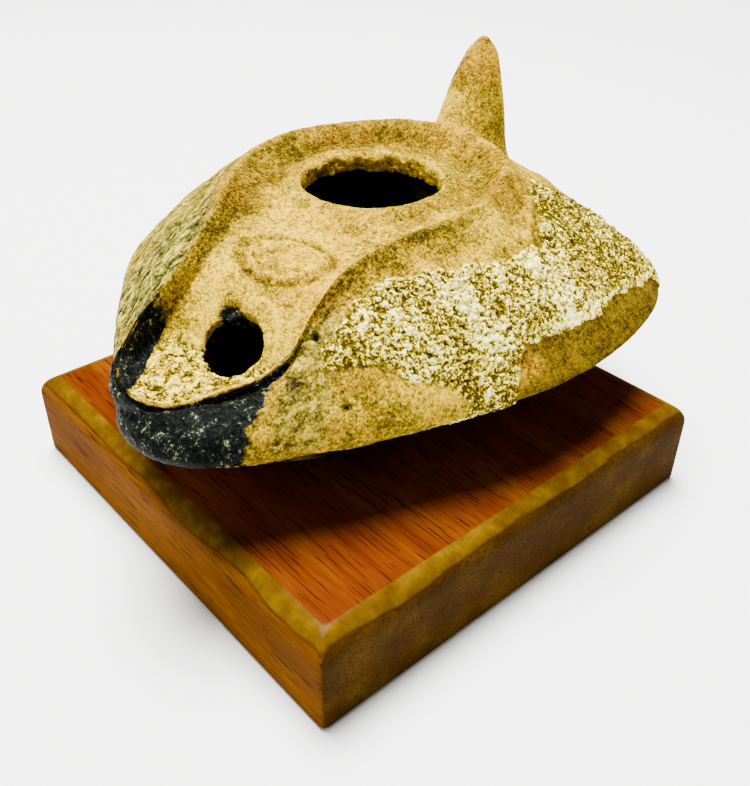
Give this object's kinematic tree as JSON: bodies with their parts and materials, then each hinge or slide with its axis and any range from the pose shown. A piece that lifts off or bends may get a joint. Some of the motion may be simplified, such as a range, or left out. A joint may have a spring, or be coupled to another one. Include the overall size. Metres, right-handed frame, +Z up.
{
  "type": "terracotta oil lamp",
  "caption": "Hollow moulded clay oil lamp with a filling hole, a wick hole in a channelled nozzle and a conical handle, standing on a small square wooden base.",
  "frame": {"origin": "middle of the wooden base's underside", "axes": "+Z up; X and Y along the sides of the square base; the lamp's nozzle points to -Y, turned 19.5 degrees towards +X"},
  "size_m": [0.0991, 0.1054, 0.0618],
  "materials": {
    "terracotta": "matt unglazed clay, worn, with lime crust and lamp soot",
    "varnished_wood": "satin varnish over reddish brown hardwood"
  },
  "bodies": {
    "root": {"lamp": "terracotta", "wooden_base": "varnished_wood"}
  },
  "joints": []
}
